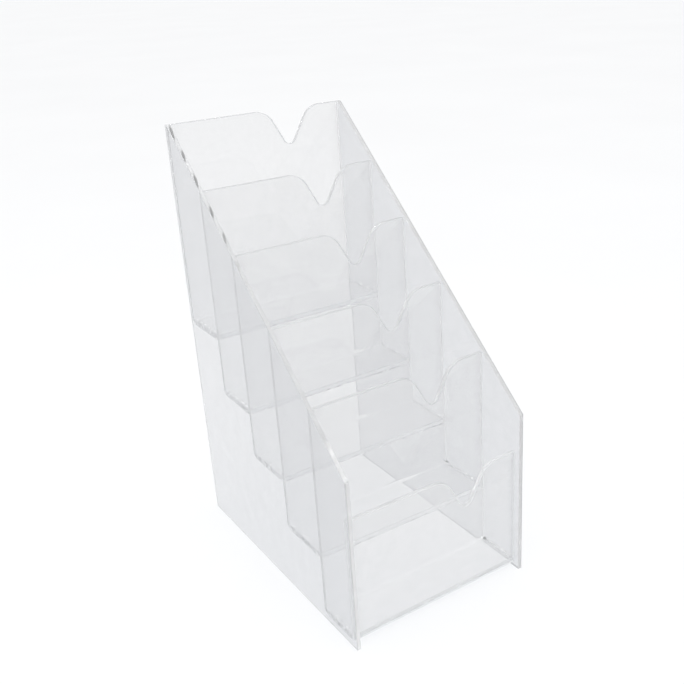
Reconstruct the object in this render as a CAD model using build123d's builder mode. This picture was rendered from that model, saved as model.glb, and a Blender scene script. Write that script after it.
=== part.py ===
from build123d import *
import os

# Stepped brochure rack of clear acrylic sheet.
# X runs left to right, Y runs front to back, Z is up. The rack faces -Y and stands on z = 0.
# All sizes are in millimetres.

os.makedirs("parts", exist_ok=True)

# Overall size
rack_width = 115.0
rack_depth = 175.0
rack_height = 253.0
front_edge_height = 102.0
sheet = 2.5

# Pocket layout, from the back of the rack to the front
sheet_backs = [87.5, 52.0, 19.0, -16.5, -53.0]
shelf_undersides = [133.0, 97.5, 69.5, 39.5, 3.5]
bend_inner_radius = 1.0
top_setback = 1.0

# Front panel
front_recess = 3.5
front_panel_top = 78.0

# Finger notch, set off to the right
notch_centre = 20.0
notch_half_mouth = 14.2
notch_sharp_depth = 25.5
notch_tip_radius = 4.0
notch_shoulder_radius = 13.0

# Small details
edge_round = 0.3
seam_leg = 0.9

# Worked-out sizes
front_y = -rack_depth / 2
back_y = rack_depth / 2
outer_x = rack_width / 2
inner_x = outer_x - sheet
slant_top_y = back_y - sheet
slant_slope = (rack_height - front_edge_height) / (slant_top_y - front_y)
bent_sheet_count = len(sheet_backs)
bend_outer_radius = bend_inner_radius + sheet
front_panel_face = front_y + front_recess
front_panel_back = front_panel_face + sheet


def slant_height(y):
    """Height of the side panels' slanted edge at depth y."""
    return front_edge_height + slant_slope * (y - front_y)


def sheet_top(number):
    """Top of a bent sheet. The first is level with the side panels, the others follow the slant."""
    if number == 0:
        return rack_height
    return slant_height(sheet_backs[number] - sheet) - top_setback


def shelf_end(number):
    """Where a shelf stops against the back face of the next sheet forward."""
    if number == bent_sheet_count - 1:
        return front_panel_back
    return sheet_backs[number + 1]


def notched_corners(bottom, top):
    """Corners of an upright blade with a V notch in its top edge, before rounding."""
    return [
        (-inner_x, bottom),
        (-inner_x, top),
        (notch_centre - notch_half_mouth, top),
        (notch_centre, top - notch_sharp_depth),
        (notch_centre + notch_half_mouth, top),
        (inner_x, top),
        (inner_x, bottom),
    ]


def side_panel(label, start_x, outer_face_x):
    """Flat cheek with five corners: upright back, slanted top and short upright front."""
    with BuildPart() as panel:
        with BuildSketch(Plane.YZ.offset(start_x)):
            with BuildLine():
                Polyline(
                    (front_y, 0),
                    (back_y, 0),
                    (back_y, rack_height),
                    (slant_top_y, rack_height),
                    (front_y, front_edge_height),
                    close=True,
                )
            make_face()
        extrude(amount=sheet)
        # Flame-polished rim on the outside face
        outer_rim = panel.edges().filter_by_position(Axis.X, outer_face_x, outer_face_x)
        fillet(outer_rim, edge_round)
    panel.part.label = label
    export_step(panel.part, "parts/" + label + ".step")


def round_notch(blade, top):
    """Rounds the tip and the two shoulders of a notch drawn in a sketch."""
    tip_height = top - notch_sharp_depth
    tip = blade.vertices().filter_by_position(Axis.Y, tip_height - 0.01, tip_height + 0.01)
    tip = tip.filter_by_position(Axis.X, notch_centre - 0.01, notch_centre + 0.01)
    fillet(tip, notch_tip_radius)
    top_corners = blade.vertices().filter_by_position(Axis.Y, top - 0.01, top + 0.01)
    shoulders = top_corners.filter_by_position(Axis.X, 1 - inner_x, inner_x - 1)
    fillet(shoulders, notch_shoulder_radius)


def bent_sheet(label, number):
    """One sheet bent into an L: an upright with a finger notch, and the shelf in front of it."""
    rear = sheet_backs[number]
    top = sheet_top(number)
    underside = shelf_undersides[number]
    bend_top = underside + bend_outer_radius
    with BuildPart() as bent:
        # Upright blade
        with BuildSketch(Plane.XZ.offset(-rear)) as blade:
            with BuildLine():
                Polyline(*notched_corners(bend_top, top), close=True)
            make_face()
            round_notch(blade, top)
        extrude(amount=sheet)
        # Bend and shelf
        with BuildSketch(Plane.YZ.offset(-inner_x)) as foot:
            with BuildLine():
                Polyline(
                    (rear, bend_top),
                    (rear, underside),
                    (shelf_end(number), underside),
                    (shelf_end(number), underside + sheet),
                    (rear - sheet, underside + sheet),
                    (rear - sheet, bend_top),
                    close=True,
                )
            make_face()
            outer_corner = foot.vertices().sort_by_distance((rear, underside, 0))[0]
            fillet(outer_corner, bend_outer_radius - 0.001)
            inner_corner = foot.vertices().sort_by_distance((rear - sheet, underside + sheet, 0))[0]
            fillet(inner_corner, bend_inner_radius - 0.001)
        extrude(amount=2 * inner_x)
    bent.part.label = label
    export_step(bent.part, "parts/" + label + ".step")


def front_panel(label):
    """Flat notched panel that closes the lowest pocket."""
    underside = shelf_undersides[-1]
    with BuildPart() as panel:
        with BuildSketch(Plane.XZ.offset(-front_panel_back)) as blade:
            with BuildLine():
                Polyline(*notched_corners(underside, front_panel_top), close=True)
            make_face()
            round_notch(blade, front_panel_top)
        extrude(amount=sheet)
    panel.part.label = label
    export_step(panel.part, "parts/" + label + ".step")


def side_seams(label, wall_x, inward):
    """Beads of cured cement under the shelf ends, along one side panel."""
    with BuildPart() as seams:
        for number in range(bent_sheet_count):
            underside = shelf_undersides[number]
            start = sheet_backs[number] - bend_outer_radius
            run = start - shelf_end(number)
            with BuildSketch(Plane.XZ.offset(-start)):
                with BuildLine():
                    Polyline(
                        (wall_x, underside),
                        (wall_x + inward * seam_leg, underside),
                        (wall_x, underside - seam_leg),
                        close=True,
                    )
                make_face()
            extrude(amount=run)
    seams.part.label = label
    export_step(seams.part, "parts/" + label + ".step")


def front_seams(label):
    """Beads of cured cement under the upper shelves, against the back of the next bent sheet."""
    with BuildPart() as seams:
        for number in range(bent_sheet_count - 1):
            underside = shelf_undersides[number]
            wall_y = shelf_end(number)
            with BuildSketch(Plane.YZ.offset(seam_leg - inner_x)):
                with BuildLine():
                    Polyline(
                        (wall_y, underside),
                        (wall_y + seam_leg, underside),
                        (wall_y, underside - seam_leg),
                        close=True,
                    )
                make_face()
            extrude(amount=2 * (inner_x - seam_leg))
    seams.part.label = label
    export_step(seams.part, "parts/" + label + ".step")


# Side panels
side_panel("left_side_panel", -outer_x, -outer_x)
side_panel("right_side_panel", inner_x, outer_x)

# Bent sheets, from the back of the rack to the front
bent_sheet("back_sheet", 0)
for number in range(1, bent_sheet_count):
    bent_sheet("divider_sheet_" + str(number), number)

# Front panel
front_panel("front_panel")

# Cement seams
side_seams("left_cement_seams", -inner_x, 1)
side_seams("right_cement_seams", inner_x, -1)
front_seams("shelf_front_cement_seams")
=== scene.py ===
import math
import random

import bpy
import bmesh
from mathutils import Matrix, Vector


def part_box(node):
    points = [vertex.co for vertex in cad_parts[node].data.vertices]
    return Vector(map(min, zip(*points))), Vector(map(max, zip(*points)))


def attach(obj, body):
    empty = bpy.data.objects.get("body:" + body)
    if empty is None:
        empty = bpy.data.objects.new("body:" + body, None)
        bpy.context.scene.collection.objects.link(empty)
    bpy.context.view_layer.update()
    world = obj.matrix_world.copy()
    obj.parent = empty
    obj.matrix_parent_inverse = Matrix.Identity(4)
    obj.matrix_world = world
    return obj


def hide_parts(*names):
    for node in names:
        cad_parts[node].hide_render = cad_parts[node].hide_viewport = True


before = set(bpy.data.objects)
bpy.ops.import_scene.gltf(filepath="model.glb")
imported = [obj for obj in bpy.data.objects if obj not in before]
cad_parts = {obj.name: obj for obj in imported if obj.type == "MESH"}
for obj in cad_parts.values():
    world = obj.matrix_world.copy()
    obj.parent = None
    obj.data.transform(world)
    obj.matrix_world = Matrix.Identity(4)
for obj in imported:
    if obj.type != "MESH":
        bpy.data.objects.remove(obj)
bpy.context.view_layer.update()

MM = 0.001

# ---------------------------------------------------------------- sizes, in millimetres
SHEET = 2.5
BEND_INNER = 1.0
BEND_OUTER = BEND_INNER + SHEET
FRONT_EDGE_HEIGHT = 102.0
NOTCH_CENTRE = 20.0
NOTCH_HALF_MOUTH = 14.2
NOTCH_SHARP_DEPTH = 25.5
NOTCH_TIP_RADIUS = 4.0
NOTCH_SHOULDER_RADIUS = 13.0
JOINT_GAP = 0.14       # room for the cement film at each end of a bent sheet
FILM_CLEARANCE = 0.03  # keeps the film's faces off its neighbours
RIM = 0.28             # polished rounding of the outer arrises
INNER_RIM = 0.16       # and of the less exposed ones
BUTT_GAP = 0.06        # between a shelf's front edge and the sheet it butts
SEAM_LEG = 0.9

LEFT, RIGHT = -1, 1  # side of the rack, as the sign of x

SHARP = math.radians(35)  # edges that turn by less aren't rounded

BENT_SHEETS = [
    "back_sheet",
    "divider_sheet_1",
    "divider_sheet_2",
    "divider_sheet_3",
    "divider_sheet_4",
]

# ---------------------------------------------------------------- material slots of a piece
INNER_RIM_SLOT, OUTER_RIM_SLOT = 1, 2        # every sheet and panel
SLANT_SLOT = 3                               # side panels
CREST_SLOT, SHELF_FRONT_SLOT = 3, 4          # bent sheets
JOINT_SLOT = 3                               # front panel
CLEAR_DROP, HIGHLIGHT_DROP, DARK_DROP = 0, 1, 2  # cement; white drops are painted highlight, dark grey ones painted shade

# ---------------------------------------------------------------- shared by the materials
ACRYLIC_IOR = 1.49
EDGE_SHADOW_TINT = (0.93, 0.94, 0.945, 1.0)  # what lamps keep on passing a cut edge
END_SHADE_REACH = 6.5  # width in millimetres of the painted shade band at each end of a sheet

# Painted dark dashes, a painted reflection, and a painted highlight on the left slanted edge, in
# metres
DASH_PITCH = 0.0123
DASH_PHASE = 0.174
DASH_LEAN = 0.0024
DASH_WOBBLE = 0.0011
DASH_FADE = (0.168, 0.204)      # heights between which they appear
HIGHLIGHT_START = (0.1022, 0.1032)  # heights between which the painted highlight begins
HIGHLIGHT_END = (0.1140, 0.1180)    # and ends

# ---------------------------------------------------------------- camera and light
SENSOR = 36.0
PICTURE_PIXELS = 684
FOCAL_PIXELS = 922.42
SHIFT_PIXELS = -60.0
CAMERA_TURN = (math.radians(-33.996), math.radians(23.141), -0.04347)
CAMERA_PLACE = (-0.24653, -0.42261, 0.33954)
WORLD_COLOUR = (0.98, 0.987, 1.0, 1.0)
WORLD_STRENGTH = 0.76
LIGHT_BOUNCES = 160  # enough for a ray to cross every sheet with its inner reflections


def box_mm(node):
    lo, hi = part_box(node)
    return lo / MM, hi / MM


panel_lo, panel_hi = box_mm("left_side_panel")
FRONT_Y, BACK_Y, TOP_Z = panel_lo.y, panel_hi.y, panel_hi.z
OUTER_X = -panel_lo.x
INNER_X = OUTER_X - SHEET


# ---------------------------------------------------------------- node helpers
class Nodes:
    """Adds and joins shader nodes."""

    def __init__(self, name):
        self.material = bpy.data.materials.new(name)
        self.material.use_nodes = True
        self.tree = self.material.node_tree
        self.tree.nodes.clear()
        self.output = self.add("ShaderNodeOutputMaterial")

    def add(self, kind, **settings):
        node = self.tree.nodes.new(kind)
        for key, value in settings.items():
            setattr(node, key, value)
        return node

    def set(self, node, **values):
        for key, value in values.items():
            node.inputs[key.replace("_", " ")].default_value = value

    def link(self, a, out, b, inp):
        self.tree.links.new(a.outputs[out], b.inputs[inp])

    def coords(self, scale=(1, 1, 1), rotation=(0, 0, 0)):
        source = self.add("ShaderNodeTexCoord")
        mapping = self.add("ShaderNodeMapping")
        mapping.inputs["Scale"].default_value = scale
        mapping.inputs["Rotation"].default_value = rotation
        self.link(source, "Object", mapping, "Vector")
        return mapping

    def noise(self, scale, detail=2.0, rough=0.5, stretch=(1, 1, 1), rotation=(0, 0, 0)):
        node = self.add("ShaderNodeTexNoise")
        self.set(node, Scale=scale, Detail=detail, Roughness=rough)
        self.link(self.coords(stretch, rotation), "Vector", node, "Vector")
        return node

    def ramp(self, source, out, stops):
        """Colours by value. The stops are (position, colour) pairs in order."""
        node = self.add("ShaderNodeValToRGB")
        first, last = node.color_ramp.elements[0], node.color_ramp.elements[1]
        first.position, first.color = stops[0]
        last.position, last.color = stops[-1]
        for position, colour in stops[1:-1]:
            made = node.color_ramp.elements.new(position)
            made.color = colour
        self.link(source, out, node, "Fac")
        return node

    def span(self, source, out, low, high, to_low, to_high):
        """Takes low to to_low and high to to_high, and stops there."""
        node = self.add("ShaderNodeMapRange")
        self.set(node, From_Min=low, From_Max=high, To_Min=to_low, To_Max=to_high)
        self.link(source, out, node, "Value")
        return node

    def position(self):
        """The point in the CAD frame, in metres, as outputs X, Y and Z."""
        source = self.add("ShaderNodeTexCoord")
        split = self.add("ShaderNodeSeparateXYZ")
        self.link(source, "Object", split, "Vector")
        return split

    def maths(self, operation, *values):
        """Joins values. Each is a number or a (node, output) pair."""
        node = self.add("ShaderNodeMath", operation=operation)
        for i, value in enumerate(values):
            if isinstance(value, tuple):
                self.link(value[0], value[1], node, i)
            else:
                node.inputs[i].default_value = value
        return (node, "Value")

    def mix(self, how, amount, first, second):
        """Mixes two colours. Each value is fixed or a (node, output) pair."""
        node = self.add("ShaderNodeMix", data_type="RGBA", blend_type=how)
        for socket, value in ((0, amount), (6, first), (7, second)):
            if isinstance(value, tuple) and isinstance(value[0], bpy.types.Node):
                self.link(value[0], value[1], node, socket)
            else:
                node.inputs[socket].default_value = value
        return (node, 2)

    def bump(self, source, out, strength, distance, below=None):
        node = self.add("ShaderNodeBump")
        self.set(node, Strength=strength, Distance=distance)
        self.link(source, out, node, "Height")
        if below is not None:
            self.link(below, "Normal", node, "Normal")
        return node


def let_lamps_through(n, shader, tint):
    """Sends the surface to the output, with lamp and soft bounced light passing straight through.

    Thin clear acrylic barely shades what stands behind it.
    """
    path = n.add("ShaderNodeLightPath")
    straight = n.add("ShaderNodeMath", operation="MAXIMUM")
    n.link(path, "Is Shadow Ray", straight, 0)
    n.link(path, "Is Diffuse Ray", straight, 1)
    passing = n.add("ShaderNodeBsdfTransparent")
    passing.inputs["Color"].default_value = tint
    either = n.add("ShaderNodeMixShader")
    n.link(straight, "Value", either, 0)
    n.link(shader, "BSDF", either, 1)
    n.link(passing, "BSDF", either, 2)
    n.link(either, "Shader", n.output, "Surface")


def grey(value):
    return (value, value, value, 1.0)


def edge_shader(n, marks, rough_low, rough_high):
    """Acrylic of a sawn and polished edge: faint tool marks and an uneven polish."""
    shader = n.add("ShaderNodeBsdfPrincipled")
    shader.inputs["IOR"].default_value = ACRYLIC_IOR
    lines = n.bump(n.noise(420.0, 2.0, 0.6), "Fac", marks, 0.0004)
    n.link(lines, "Normal", shader, "Normal")
    rough = n.span(n.noise(70.0, 2.0, 0.6), "Fac", 0.3, 0.7, rough_low, rough_high)
    n.link(rough, "Result", shader, "Roughness")
    return shader


# ---------------------------------------------------------------- materials
def acrylic(name, tint, wave_scale, wave, ends=False):
    """Clear cast acrylic: slow waviness, light scratches and a thin veil of dust.

    ends darkens it over the last few millimetres by the cemented ends, as painted shade.
    """
    n = Nodes(name)
    shader = n.add("ShaderNodeBsdfPrincipled")
    shader.inputs["IOR"].default_value = ACRYLIC_IOR
    dust = n.noise(90.0, 4.0, 0.65)
    clear = n.span(dust, "Fac", 0.3, 0.7, 0.91, 0.85)
    n.link(clear, "Result", shader, "Transmission Weight")
    slow = n.noise(wave_scale, 1.5, 0.4)
    waves = n.bump(slow, "Fac", wave, 0.004)
    fine = n.noise(60.0, 2.0, 0.5)
    peel = n.bump(fine, "Fac", 0.02, 0.0006, waves)
    n.link(peel, "Normal", shader, "Normal")
    scratch = n.noise(40.0, 3.0, 0.6, (1, 1, 14), (0.2, 0.1, 0.05))
    rough = n.span(scratch, "Fac", 0.35, 0.75, 0.0, 0.035)
    n.link(rough, "Result", shader, "Roughness")
    cloud = n.noise(5.0, 2.0, 0.5)
    paler = tuple(min(1.0, c * 1.012) for c in tint[:3]) + (1.0,)
    colour = (n.ramp(cloud, "Fac", [(0.3, tint), (0.75, paler)]), "Color")
    if ends:
        # Painted shade: darker over the last few millimetres towards each cemented end
        from_middle = n.maths("ABSOLUTE", (n.position(), "X"))
        end_shade = n.span(*from_middle, (INNER_X - END_SHADE_REACH) * MM, INNER_X * MM, 1.0, 0.955)
        colour = n.mix("MULTIPLY", 1.0, colour, (end_shade, "Result"))
    n.link(*colour, shader, "Base Color")
    let_lamps_through(n, shader, (0.972, 0.974, 0.977, 1.0))
    return n.material


def cut_edge(name, tint, clear, rough_low, rough_high, marks=0.2):
    """Sawn and flame-polished edge, slightly misted. clear is how much of it transmits."""
    n = Nodes(name)
    shader = edge_shader(n, marks, rough_low, rough_high)
    shader.inputs["Transmission Weight"].default_value = clear
    shade = n.noise(120.0, 3.0, 0.7)
    darker = tuple(c * 0.93 for c in tint[:3]) + (1.0,)
    colour = n.ramp(shade, "Fac", [(0.35, darker), (0.65, tint)])
    n.link(colour, "Color", shader, "Base Color")
    let_lamps_through(n, shader, EDGE_SHADOW_TINT)
    return n.material


def painted_dashes_and_highlight(n, where, across):
    """How strongly the left slanted edge is dashed dark with painted reflection, and how strongly
    it is lightened with a painted highlight.
    """
    # Painted dark reflection in dashes, shorter and fainter further down
    lean = (n.span(*across, 0.0, 1.0, -DASH_LEAN, DASH_LEAN), "Result")
    uneven = n.noise(30.0, 1.0, 0.5)
    wobble = (n.span(uneven, "Fac", 0.3, 0.7, -DASH_WOBBLE, DASH_WOBBLE), "Result")
    height = n.maths("ADD", n.maths("SUBTRACT", (where, "Z"), lean), wobble)
    phase = n.maths("FRACT", n.maths("MULTIPLY_ADD", height, 1 / DASH_PITCH, DASH_PHASE))
    reach = (n.span(where, "Z", 0.172, 0.250, 0.12, 0.29), "Result")
    along = n.maths("DIVIDE", n.maths("SUBTRACT", phase, 0.5), reach)
    sideways = n.maths("MULTIPLY_ADD", across, 2.1, -0.95)
    apart = n.maths(
        "ADD",
        n.maths("MULTIPLY", along, along),
        n.maths("MULTIPLY", sideways, sideways),
    )
    dash_shape = (n.span(*apart, 0.35, 1.1, 1.0, 0.0), "Result")
    fade = (n.span(where, "Z", *DASH_FADE, 0.0, 0.85), "Result")
    dark = n.maths("MULTIPLY", dash_shape, fade)
    # The painted highlight near the front end
    low = (n.span(where, "Z", *HIGHLIGHT_START, 0.0, 1.0), "Result")
    high = (n.span(where, "Z", *HIGHLIGHT_END, 1.0, 0.0), "Result")
    ragged = (n.span(n.noise(220.0, 2.0, 0.6), "Fac", 0.3, 0.6, 0.3, 0.65), "Result")
    painted_highlight = n.maths("MULTIPLY", n.maths("MULTIPLY", low, high), ragged)
    return dark, painted_highlight


def panel_edge(name, side, clear_share, face_grey, inner_grey, marks=False):
    """Edge of a side panel, with painted shade darkening it towards its outer arris. marks adds
    painted dark dashes, a painted reflection, and a painted highlight.
    """
    n = Nodes(name)
    shader = edge_shader(n, 0.2, 0.05, 0.2)
    where = n.position()
    outer, inner = side * OUTER_X * MM, side * INNER_X * MM
    across = (n.span(where, "X", outer, inner, 0.0, 1.0), "Result")
    # Painted shade: darker near the outer arris, a little darker at the inner one
    face = n.ramp(*across, [
        (0.0, grey(face_grey - 0.34)),
        (0.14, grey(face_grey - 0.24)),
        (0.32, grey(face_grey)),
        (0.74, grey(face_grey)),
        (0.92, grey(inner_grey)),
        (1.0, grey(inner_grey)),
    ])
    mottle = n.span(n.noise(150.0, 3.0, 0.7), "Fac", 0.3, 0.7, 0.94, 1.04)
    colour = n.mix("MULTIPLY", 1.0, (face, "Color"), (mottle, "Result"))
    clear = (n.span(*across, 0.0, 0.4, clear_share * 0.75, clear_share), "Result")
    if marks:
        # Painted dark dashes standing for a reflection, and a painted highlight
        dark, painted_highlight = painted_dashes_and_highlight(n, where, across)
        colour = n.mix("MIX", dark, colour, grey(0.22))
        colour = n.mix("MIX", painted_highlight, colour, grey(0.90))
        solid = n.maths("SUBTRACT", 1.0, n.maths("MAXIMUM", dark, painted_highlight))
        clear = n.maths("MULTIPLY", clear, solid)
    n.link(*colour, shader, "Base Color")
    n.link(*clear, shader, "Transmission Weight")
    let_lamps_through(n, shader, EDGE_SHADOW_TINT)
    return n.material


def cement(name, painted_highlight=False):
    """Cured solvent cement: clear, with trapped bubbles drawn as dark specks of painted shade.
    The white kind is near-white and mostly opaque, as painted highlight.
    """
    n = Nodes(name)
    shader = n.add("ShaderNodeBsdfPrincipled")
    shader.inputs["IOR"].default_value = ACRYLIC_IOR
    shader.inputs["Transmission Weight"].default_value = 0.15 if painted_highlight else 0.85
    bubbles = n.add("ShaderNodeTexVoronoi")
    n.set(bubbles, Scale=520.0)
    n.link(n.coords(), "Vector", bubbles, "Vector")
    cells = n.bump(bubbles, "Distance", 0.4, 0.0004)
    n.link(cells, "Normal", shader, "Normal")
    haze = n.noise(260.0, 3.0, 0.7)
    rough = n.span(haze, "Fac", 0.35, 0.65, 0.03, 0.35)
    n.link(rough, "Result", shader, "Roughness")
    # Painted shade in dark specks; the white kind is near-white all over, a painted highlight
    specks = n.noise(330.0, 2.0, 0.6)
    colour = n.ramp(specks, "Fac", [
        (0.33, grey(0.9) if painted_highlight else grey(0.35)),
        (0.42, grey(0.97) if painted_highlight else grey(0.90)),
        (0.60, grey(0.985)),
    ])
    n.link(colour, "Color", shader, "Base Color")
    let_lamps_through(n, shader, (0.965, 0.968, 0.968, 1.0))
    return n.material


def paper_floor(name):
    """Matt white studio floor with the faintest mottle."""
    n = Nodes(name)
    shader = n.add("ShaderNodeBsdfPrincipled")
    shader.inputs["Roughness"].default_value = 0.9
    shader.inputs["Specular IOR Level"].default_value = 0.1
    mottle = n.noise(3.0, 3.0, 0.5)
    colour = n.ramp(mottle, "Fac", [(0.3, grey(0.915)), (0.7, grey(0.93))])
    n.link(colour, "Color", shader, "Base Color")
    n.link(shader, "BSDF", n.output, "Surface")
    return n.material


# The grey tints are partly the acrylic's own and partly painted shade; the panels' is painted
# darker than the sheets'
PANEL_CLEAR = acrylic("panel_acrylic", (0.800, 0.805, 0.817, 1.0), 7.0, 0.04)
SHEET_CLEAR = acrylic("sheet_acrylic", (0.915, 0.915, 0.917, 1.0), 11.0, 0.06, ends=True)
LIT_EDGE = cut_edge("lit_edge", (0.90, 0.905, 0.91, 1.0), 0.4, 0.08, 0.22)
JOINT = cut_edge("joint_face", (0.90, 0.905, 0.91, 1.0), 0.1, 0.10, 0.25)
# Upper shelves' front edges, a cut edge painted near-white and nearly opaque as a painted
# highlight
SHELF_FRONT = cut_edge("shelf_front", (0.985, 0.987, 0.99, 1.0), 0.15, 0.10, 0.25)
# Grey arrises and panel edges are painted shade lines along the edges; the right panel's are
# painted darker than the left's
SHEET_ARRIS = cut_edge("sheet_arris", (0.74, 0.75, 0.76, 1.0), 0.45, 0.10, 0.25)
EDGE = cut_edge("polished_edge", (0.90, 0.902, 0.905, 1.0), 0.6, 0.05, 0.18)
LEFT_ARRIS = cut_edge("left_arris", (0.80, 0.81, 0.82, 1.0), 0.45, 0.10, 0.25)
RIGHT_ARRIS = cut_edge("right_arris", (0.34, 0.35, 0.36, 1.0), 0.2, 0.10, 0.25)
LEFT_EDGE = panel_edge("left_panel_edge", LEFT, 0.4, 0.90, 0.86)
LEFT_SLANT = panel_edge("left_slanted_edge", LEFT, 0.62, 0.93, 0.80, marks=True)
RIGHT_EDGE = panel_edge("right_panel_edge", RIGHT, 0.3, 0.74, 0.74)
CEMENT = cement("cement")
# White cement is painted highlight on the drops, the dark grey cement painted shade
HIGHLIGHT_CEMENT = cement("bubble_highlight_cement", painted_highlight=True)
DARK_CEMENT = cut_edge("shaded_drop_cement", (0.40, 0.42, 0.41, 1.0), 0.7, 0.02, 0.2, 0.4)


# ---------------------------------------------------------------- mesh helpers
def round_edges(piece, layer, width, material):
    """Rounds the edges that weigh() marked in the layer."""
    bevel = piece.modifiers.new(layer, "BEVEL")
    bevel.width = width * MM
    bevel.segments = 2
    bevel.limit_method = "WEIGHT"
    bevel.edge_weight = layer
    bevel.material = material
    bevel.use_clamp_overlap = False


def finish_piece(bm, name, nodes, materials, rounded=True):
    """Turns a bmesh into a piece that rides on the body and replaces its CAD nodes."""
    bmesh.ops.recalc_face_normals(bm, faces=bm.faces)
    mesh = bpy.data.meshes.new(name)
    bm.to_mesh(mesh)
    bm.free()
    for material in materials:
        mesh.materials.append(material)
    piece = bpy.data.objects.new(name, mesh)
    bpy.context.scene.collection.objects.link(piece)
    if rounded:
        round_edges(piece, "outer_rim", RIM, OUTER_RIM_SLOT)
        round_edges(piece, "inner_rim", INNER_RIM, INNER_RIM_SLOT)
    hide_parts(*nodes)
    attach(piece, "root")
    return piece


def weigh(bm, is_outer):
    """Sorts the sharp edges into outer and inner ones, which are rounded differently."""
    bmesh.ops.recalc_face_normals(bm, faces=bm.faces)  # new faces have no normals yet
    outer = bm.edges.layers.float.new("outer_rim")
    inner = bm.edges.layers.float.new("inner_rim")
    for edge in bm.edges:
        if len(edge.link_faces) != 2 or edge.calc_face_angle(0.0) < SHARP:
            continue
        middle = (edge.verts[0].co + edge.verts[1].co) / 2 / MM
        edge[outer if is_outer(middle) else inner] = 1.0


def arc(centre, radius, start, end, count):
    """Points along an arc, angles in degrees."""
    points = []
    for i in range(count + 1):
        a = math.radians(start + (end - start) * i / count)
        points.append((centre[0] + radius * math.cos(a), centre[1] + radius * math.sin(a)))
    return points


def notch_outline(half_width, top):
    """Top edge of a notched blade from left to right, with its rounded shoulders and tip."""
    slope = math.degrees(math.atan2(NOTCH_SHARP_DEPTH, NOTCH_HALF_MOUTH))
    s = NOTCH_SHOULDER_RADIUS
    run = s * math.tan(math.radians(slope / 2))
    left = NOTCH_CENTRE - NOTCH_HALF_MOUTH - run
    right = NOTCH_CENTRE + NOTCH_HALF_MOUTH + run
    tip_z = top - NOTCH_SHARP_DEPTH + NOTCH_TIP_RADIUS / math.cos(math.radians(slope))
    points = [(-half_width, top)]
    points += arc((left, top - s), s, 90, 90 - slope, 14)
    points += arc((NOTCH_CENTRE, tip_z), NOTCH_TIP_RADIUS, 270 - slope, 270 + slope, 16)
    points += arc((right, top - s), s, 90 + slope, 90, 14)
    points.append((half_width, top))
    return points


def plate(bm, first, last):
    """Closes two matching rings into a plate. Returns the faces around its rim, in order."""
    bm.faces.new(first)
    bm.faces.new(list(reversed(last)))
    rim = []
    for i in range(len(first)):
        j = (i + 1) % len(first)
        rim.append(bm.faces.new((first[i], last[i], last[j], first[j])))
    return rim


# ---------------------------------------------------------------- side panels
def side_panel(name, side):
    """Flat cheek. Its rim is rounded outside and, a little less, inside."""
    outline = [
        (FRONT_Y, 0.0),
        (BACK_Y, 0.0),
        (BACK_Y, TOP_Z),
        (BACK_Y - SHEET, TOP_Z),
        (FRONT_Y, FRONT_EDGE_HEIGHT),
    ]
    bm = bmesh.new()
    rings = []
    for x in (side * OUTER_X, side * INNER_X):
        rings.append([bm.verts.new((x * MM, y * MM, z * MM)) for y, z in outline])
    for i, face in enumerate(plate(bm, *rings)):
        slanted = i == 3
        face.material_index = SLANT_SLOT if slanted else INNER_RIM_SLOT
    weigh(bm, lambda middle: abs(abs(middle.x) - OUTER_X) < 0.1)
    if side == LEFT:
        materials = [PANEL_CLEAR, LEFT_EDGE, LEFT_ARRIS, LEFT_SLANT]
    else:
        materials = [PANEL_CLEAR, RIGHT_EDGE, RIGHT_ARRIS, RIGHT_EDGE]
    return finish_piece(bm, name, [name], materials)


# ---------------------------------------------------------------- bent sheets
def bend_profile(rear, underside, end):
    """Rear and front lines of a sheet, from the start of its bend to its shelf's front edge."""
    centre = (rear - BEND_OUTER, underside + BEND_OUTER)
    outside = arc(centre, BEND_OUTER, 0, -90, 12) + [(end, underside)]
    inside = arc(centre, BEND_INNER, 0, -90, 12) + [(end, underside + SHEET)]
    return outside, inside


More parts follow.
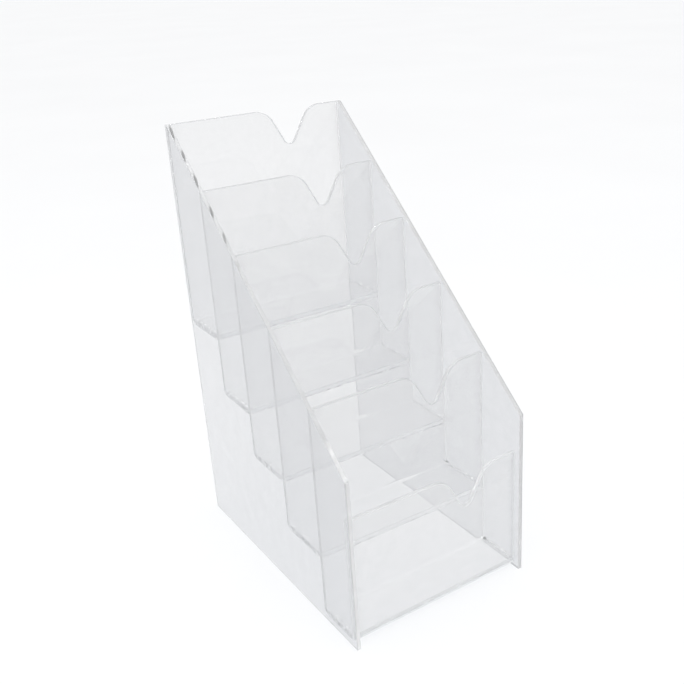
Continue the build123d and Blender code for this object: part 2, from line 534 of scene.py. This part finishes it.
def bent_sheet(name):
    """One L-shaped sheet, with a notched upright and a shelf in front of its bend."""
    lo, hi = box_mm(name)
    rear, top, underside = hi.y, hi.z, lo.z
    end = lo.y + BUTT_GAP
    half = INNER_X - JOINT_GAP
    outside, inside = bend_profile(rear, underside, end)
    crest = notch_outline(half, top)
    bm = bmesh.new()

    def vert(x, y, z):
        return bm.verts.new((x * MM, y * MM, z * MM))

    back_crest = [vert(x, rear, z) for x, z in crest]
    front_crest = [vert(x, rear - SHEET, z) for x, z in crest]
    out_left = [vert(-half, y, z) for y, z in outside]
    out_right = [vert(half, y, z) for y, z in outside]
    in_left = [vert(-half, y, z) for y, z in inside]
    in_right = [vert(half, y, z) for y, z in inside]
    # Upright faces and the notched top edge
    bm.faces.new(back_crest + [out_right[0], out_left[0]])
    bm.faces.new(front_crest + [in_right[0], in_left[0]])
    for i in range(len(crest) - 1):
        j = i + 1
        face = bm.faces.new((back_crest[i], back_crest[j], front_crest[j], front_crest[i]))
        face.material_index = CREST_SLOT
        face.smooth = True
    # Upright ends
    for face in (
        bm.faces.new((back_crest[0], front_crest[0], in_left[0], out_left[0])),
        bm.faces.new((back_crest[-1], front_crest[-1], in_right[0], out_right[0])),
    ):
        face.material_index = INNER_RIM_SLOT
    # Bend and shelf
    for i in range(len(outside) - 1):
        j = i + 1
        curved = i < len(outside) - 2
        bm.faces.new((out_left[i], out_left[j], out_right[j], out_right[i])).smooth = curved
        bm.faces.new((in_left[i], in_left[j], in_right[j], in_right[i])).smooth = curved
        for outer, inner in ((out_left, in_left), (out_right, in_right)):
            face = bm.faces.new((outer[i], outer[j], inner[j], inner[i]))
            face.material_index = INNER_RIM_SLOT
    # Front edge of the shelf, near-white on the upper shelves as painted highlight. The lowest
    # one butts the front panel and stays greyer
    face = bm.faces.new((out_left[-1], out_right[-1], in_right[-1], in_left[-1]))
    face.material_index = CREST_SLOT if name == BENT_SHEETS[-1] else SHELF_FRONT_SLOT
    weigh(bm, lambda middle: abs(middle.x) < half - 0.1 and middle.z > underside + 20)
    materials = [SHEET_CLEAR, EDGE, SHEET_ARRIS, LIT_EDGE, SHELF_FRONT]
    return finish_piece(bm, name, [name], materials)


def front_panel():
    """Flat notched panel in front of the lowest pocket."""
    name = "front_panel"
    lo, hi = box_mm(name)
    half = INNER_X - JOINT_GAP
    crest = notch_outline(half, hi.z)
    outline = crest + [(half, lo.z), (-half, lo.z)]
    bm = bmesh.new()
    rings = []
    for y in (hi.y, lo.y):
        rings.append([bm.verts.new((x * MM, y * MM, z * MM)) for x, z in outline])
    for i, face in enumerate(plate(bm, *rings)):
        on_crest = i < len(crest) - 1
        face.material_index = OUTER_RIM_SLOT if on_crest else JOINT_SLOT
        face.smooth = on_crest
    weigh(bm, lambda middle: abs(middle.x) < half - 0.1 and middle.z > lo.z + 5)
    materials = [SHEET_CLEAR, SHEET_ARRIS, LIT_EDGE, JOINT]
    return finish_piece(bm, name, [name], materials)


# ---------------------------------------------------------------- cement
def skin(bm, rows):
    """Closes a row of matching rings into a solid strip."""
    bm.faces.new(rows[0])
    bm.faces.new(list(reversed(rows[-1])))
    for near, far in zip(rows, rows[1:]):
        for k in range(len(near)):
            m = (k + 1) % len(near)
            bm.faces.new((near[k], near[m], far[m], far[k]))


def strip(bm, stations, x0, x1):
    """Closed thin strip between two planes of x. Each station is a pair of (y, z) points."""
    rows = []
    for a, b in stations:
        rows.append([
            bm.verts.new((x0 * MM, a[0] * MM, a[1] * MM)),
            bm.verts.new((x1 * MM, a[0] * MM, a[1] * MM)),
            bm.verts.new((x1 * MM, b[0] * MM, b[1] * MM)),
            bm.verts.new((x0 * MM, b[0] * MM, b[1] * MM)),
        ])
    skin(bm, rows)


def bead(bm, start, end, place, rng):
    """Hand-run bead of uneven width in an inside corner.

    place(along, out, down) gives a point in millimetres.
    """
    count = max(8, int(abs(end - start) / 1.6))
    rows = []
    size = 1.0
    for i in range(count + 1):
        along = start + (end - start) * i / count
        size += (rng.uniform(0.55, 1.25) - size) * 0.5
        leg = SEAM_LEG * size * (0.35 if i in (0, count) else 1.0)
        hollow = 0.36 * leg
        ring = [
            (0.0, 0.0),
            (leg, 0.0),
            (hollow * 1.25, hollow * 0.8),
            (hollow * 0.8, hollow * 1.25),
            (0.0, leg),
        ]
        points = [place(along, o + FILM_CLEARANCE, d + FILM_CLEARANCE) for o, d in ring]
        rows.append([bm.verts.new(Vector(point) * MM) for point in points])
    skin(bm, rows)


def lump(bm, centre, radii, rng, material, rough, detail):
    """Small uneven drop of cement."""
    made = bmesh.ops.create_icosphere(bm, subdivisions=detail, radius=1.0)["verts"]
    for vertex in made:
        stretch = 1.0 + rng.uniform(-rough, rough)
        place = [c + r * v * stretch for c, r, v in zip(centre, radii, vertex.co)]
        vertex.co = Vector(place) * MM
    for face in {f for v in made for f in v.link_faces}:
        face.material_index = material
        face.smooth = True


def squeezed_bubbles(bm, node, side, count, spread, rng):
    """Bubbles and drops left along a shelf's cemented end, on top of the shelf."""
    lo, hi = box_mm(node)
    for i in range(count):
        along = rng.uniform(hi.y - SHEET - 1.5, lo.y + 1.0)
        size = rng.uniform(0.3, 0.7)
        out = INNER_X - size - 0.05 - rng.random() ** 2 * spread
        high = lo.z + SHEET + size * 0.8 + rng.uniform(0.0, 0.7)
        radii = (size, size * rng.uniform(1.0, 1.9), size * 0.75)
        # White drops are painted highlight
        material = rng.choice((CLEAR_DROP, HIGHLIGHT_DROP))
        lump(bm, (side * out, along, high), radii, rng, material, 0.12, 1)


def corner_lump(bm, node, size, rng):
    """Cluster of drops in the back corner of a pocket, against the right panel."""
    lo, hi = box_mm(node)
    for i in range(7):
        radius = size * rng.uniform(0.16, 0.36)
        place = (
            INNER_X - radius - rng.uniform(0.05, size),
            hi.y - SHEET - radius - rng.uniform(0.15, size),
            lo.z + SHEET + radius + rng.uniform(0.0, size * 0.5),
        )
        # Dark grey drops are painted shade, white ones painted highlight
        material = HIGHLIGHT_DROP if i % 3 == 2 else DARK_DROP
        lump(bm, place, (radius, radius * 1.2, radius * 0.9), rng, material, 0.25, 1)


def side_seams(name, side, seed):
    """Cement between the bent sheets' ends and one side panel, with its beads and drops."""
    rng = random.Random(seed)
    bm = bmesh.new()
    x_wall = side * (INNER_X - FILM_CLEARANCE)
    x_sheet = side * (INNER_X - JOINT_GAP + FILM_CLEARANCE)
    for node in BENT_SHEETS:
        lo, hi = box_mm(node)
        outside, inside = bend_profile(hi.y, lo.z, lo.y + BUTT_GAP)
        strip(bm, list(zip(outside, inside)), x_wall, x_sheet)
        bead(
            bm,
            hi.y - BEND_OUTER,
            lo.y,
            lambda along, out, down, z=lo.z: (side * (INNER_X - out), along, z - down),
            rng,
        )
    if side == LEFT:
        for node, count in zip(BENT_SHEETS, (26, 30, 8, 6, 8)):
            squeezed_bubbles(bm, node, side, count, 0.7, rng)
    else:
        for node, size in zip(BENT_SHEETS, (1.6, 1.1, 0.8, 1.8, 2.6)):
            corner_lump(bm, node, size, rng)
            squeezed_bubbles(bm, node, side, 7, 0.5, rng)
    materials = [CEMENT, HIGHLIGHT_CEMENT, DARK_CEMENT]
    return finish_piece(bm, name, [name], materials, rounded=False)


def front_seams(name, seed):
    """Beads under the fronts of the four upper shelves."""
    rng = random.Random(seed)
    bm = bmesh.new()
    reach = INNER_X - 1.2
    for node in BENT_SHEETS[:-1]:
        lo = box_mm(node)[0]
        bead(
            bm,
            -reach,
            reach,
            lambda along, out, down, y=lo.y, z=lo.z: (along, y + out, z - down),
            rng,
        )
    # White cement runs near the left end of the two upper shelves, painted highlight: from, to
    # and half height
    runs = ((-43.5, -35.6, 0.5), (-44.5, -30.0, 0.75))
    for node, (first, last, size) in zip(BENT_SHEETS, runs):
        lo = box_mm(node)[0]
        centre = ((first + last) / 2, lo.y + 1.0, lo.z - 0.75)
        lump(bm, centre, ((last - first) / 2, 0.7, size), rng, HIGHLIGHT_DROP, 0.1, 3)
    return finish_piece(bm, name, [name], [CEMENT, HIGHLIGHT_CEMENT], rounded=False)


side_panel("left_side_panel", LEFT)
side_panel("right_side_panel", RIGHT)
for node in BENT_SHEETS:
    bent_sheet(node)
front_panel()
side_seams("left_cement_seams", LEFT, 11)
side_seams("right_cement_seams", RIGHT, 12)
front_seams("shelf_front_cement_seams", 13)


# ---------------------------------------------------------------- stage
def floor():
    """Wide pale floor, a hair below the rack's base so that the two don't flicker."""
    bm = bmesh.new()
    bmesh.ops.create_grid(bm, x_segments=8, y_segments=8, size=15.0)
    mesh = bpy.data.meshes.new("floor")
    bm.to_mesh(mesh)
    bm.free()
    mesh.materials.append(paper_floor("floor_paper"))
    plane = bpy.data.objects.new("floor", mesh)
    plane.location = (0, 0, -0.0002)
    bpy.context.scene.collection.objects.link(plane)


def area(name, place, target, size, watts):
    """Rectangular lamp at a place, turned to a target."""
    lamp = bpy.data.lights.new(name, "AREA")
    lamp.shape = "RECTANGLE"
    lamp.size, lamp.size_y = size
    lamp.energy = watts
    lamp_object = bpy.data.objects.new(name, lamp)
    lamp_object.location = place
    direction = Vector(target) - Vector(place)
    lamp_object.rotation_euler = direction.to_track_quat("-Z", "Y").to_euler()
    bpy.context.scene.collection.objects.link(lamp_object)


def sun(name, toward, spread, strength):
    """Soft even light from a wide disc in the direction given."""
    lamp = bpy.data.lights.new(name, "SUN")
    lamp.angle = math.radians(spread)
    lamp.energy = strength
    lamp_object = bpy.data.objects.new(name, lamp)
    lamp_object.rotation_euler = Vector(toward).to_track_quat("Z", "Y").to_euler()
    bpy.context.scene.collection.objects.link(lamp_object)


def surroundings():
    """Bright even studio walls all round."""
    world = bpy.data.worlds.new("studio")
    bpy.context.scene.world = world
    world.use_nodes = True
    back = world.node_tree.nodes["Background"]
    back.inputs["Color"].default_value = WORLD_COLOUR
    back.inputs["Strength"].default_value = WORLD_STRENGTH


def camera():
    """The photograph's camera, as its perspective was fitted."""
    data = bpy.data.cameras.new("camera")
    data.sensor_width = SENSOR
    data.lens = FOCAL_PIXELS / PICTURE_PIXELS * SENSOR
    data.shift_x = SHIFT_PIXELS / PICTURE_PIXELS
    data.clip_start, data.clip_end = 0.01, 100.0
    azimuth, elevation, roll = CAMERA_TURN
    back = Vector((
        math.sin(azimuth) * math.cos(elevation),
        -math.cos(azimuth) * math.cos(elevation),
        math.sin(elevation),
    ))
    right = (-back).cross(Vector((0, 0, 1))).normalized()
    up = right.cross(-back)
    turned_right = math.cos(roll) * right + math.sin(roll) * up
    turned_up = -math.sin(roll) * right + math.cos(roll) * up
    cam = bpy.data.objects.new("camera", data)
    axes = Matrix((turned_right, turned_up, back)).transposed().to_4x4()
    cam.matrix_world = Matrix.Translation(CAMERA_PLACE) @ axes
    bpy.context.scene.collection.objects.link(cam)
    bpy.context.scene.camera = cam


floor()
surroundings()
sun("overhead", (-0.2, -0.25, 1.0), 50.0, 0.96)
area("key", (-0.7, -0.5, 1.5), (0, 0, 0.1), (1.0, 1.0), 3)
camera()

scene = bpy.context.scene
scene.cycles.max_bounces = LIGHT_BOUNCES
scene.cycles.transmission_bounces = LIGHT_BOUNCES
scene.cycles.glossy_bounces = LIGHT_BOUNCES
scene.cycles.transparent_max_bounces = 40
scene.cycles.caustics_refractive = False
scene.cycles.caustics_reflective = False
scene.cycles.use_denoising = True
scene.view_settings.view_transform = "Standard"
scene.view_settings.exposure = 0.0
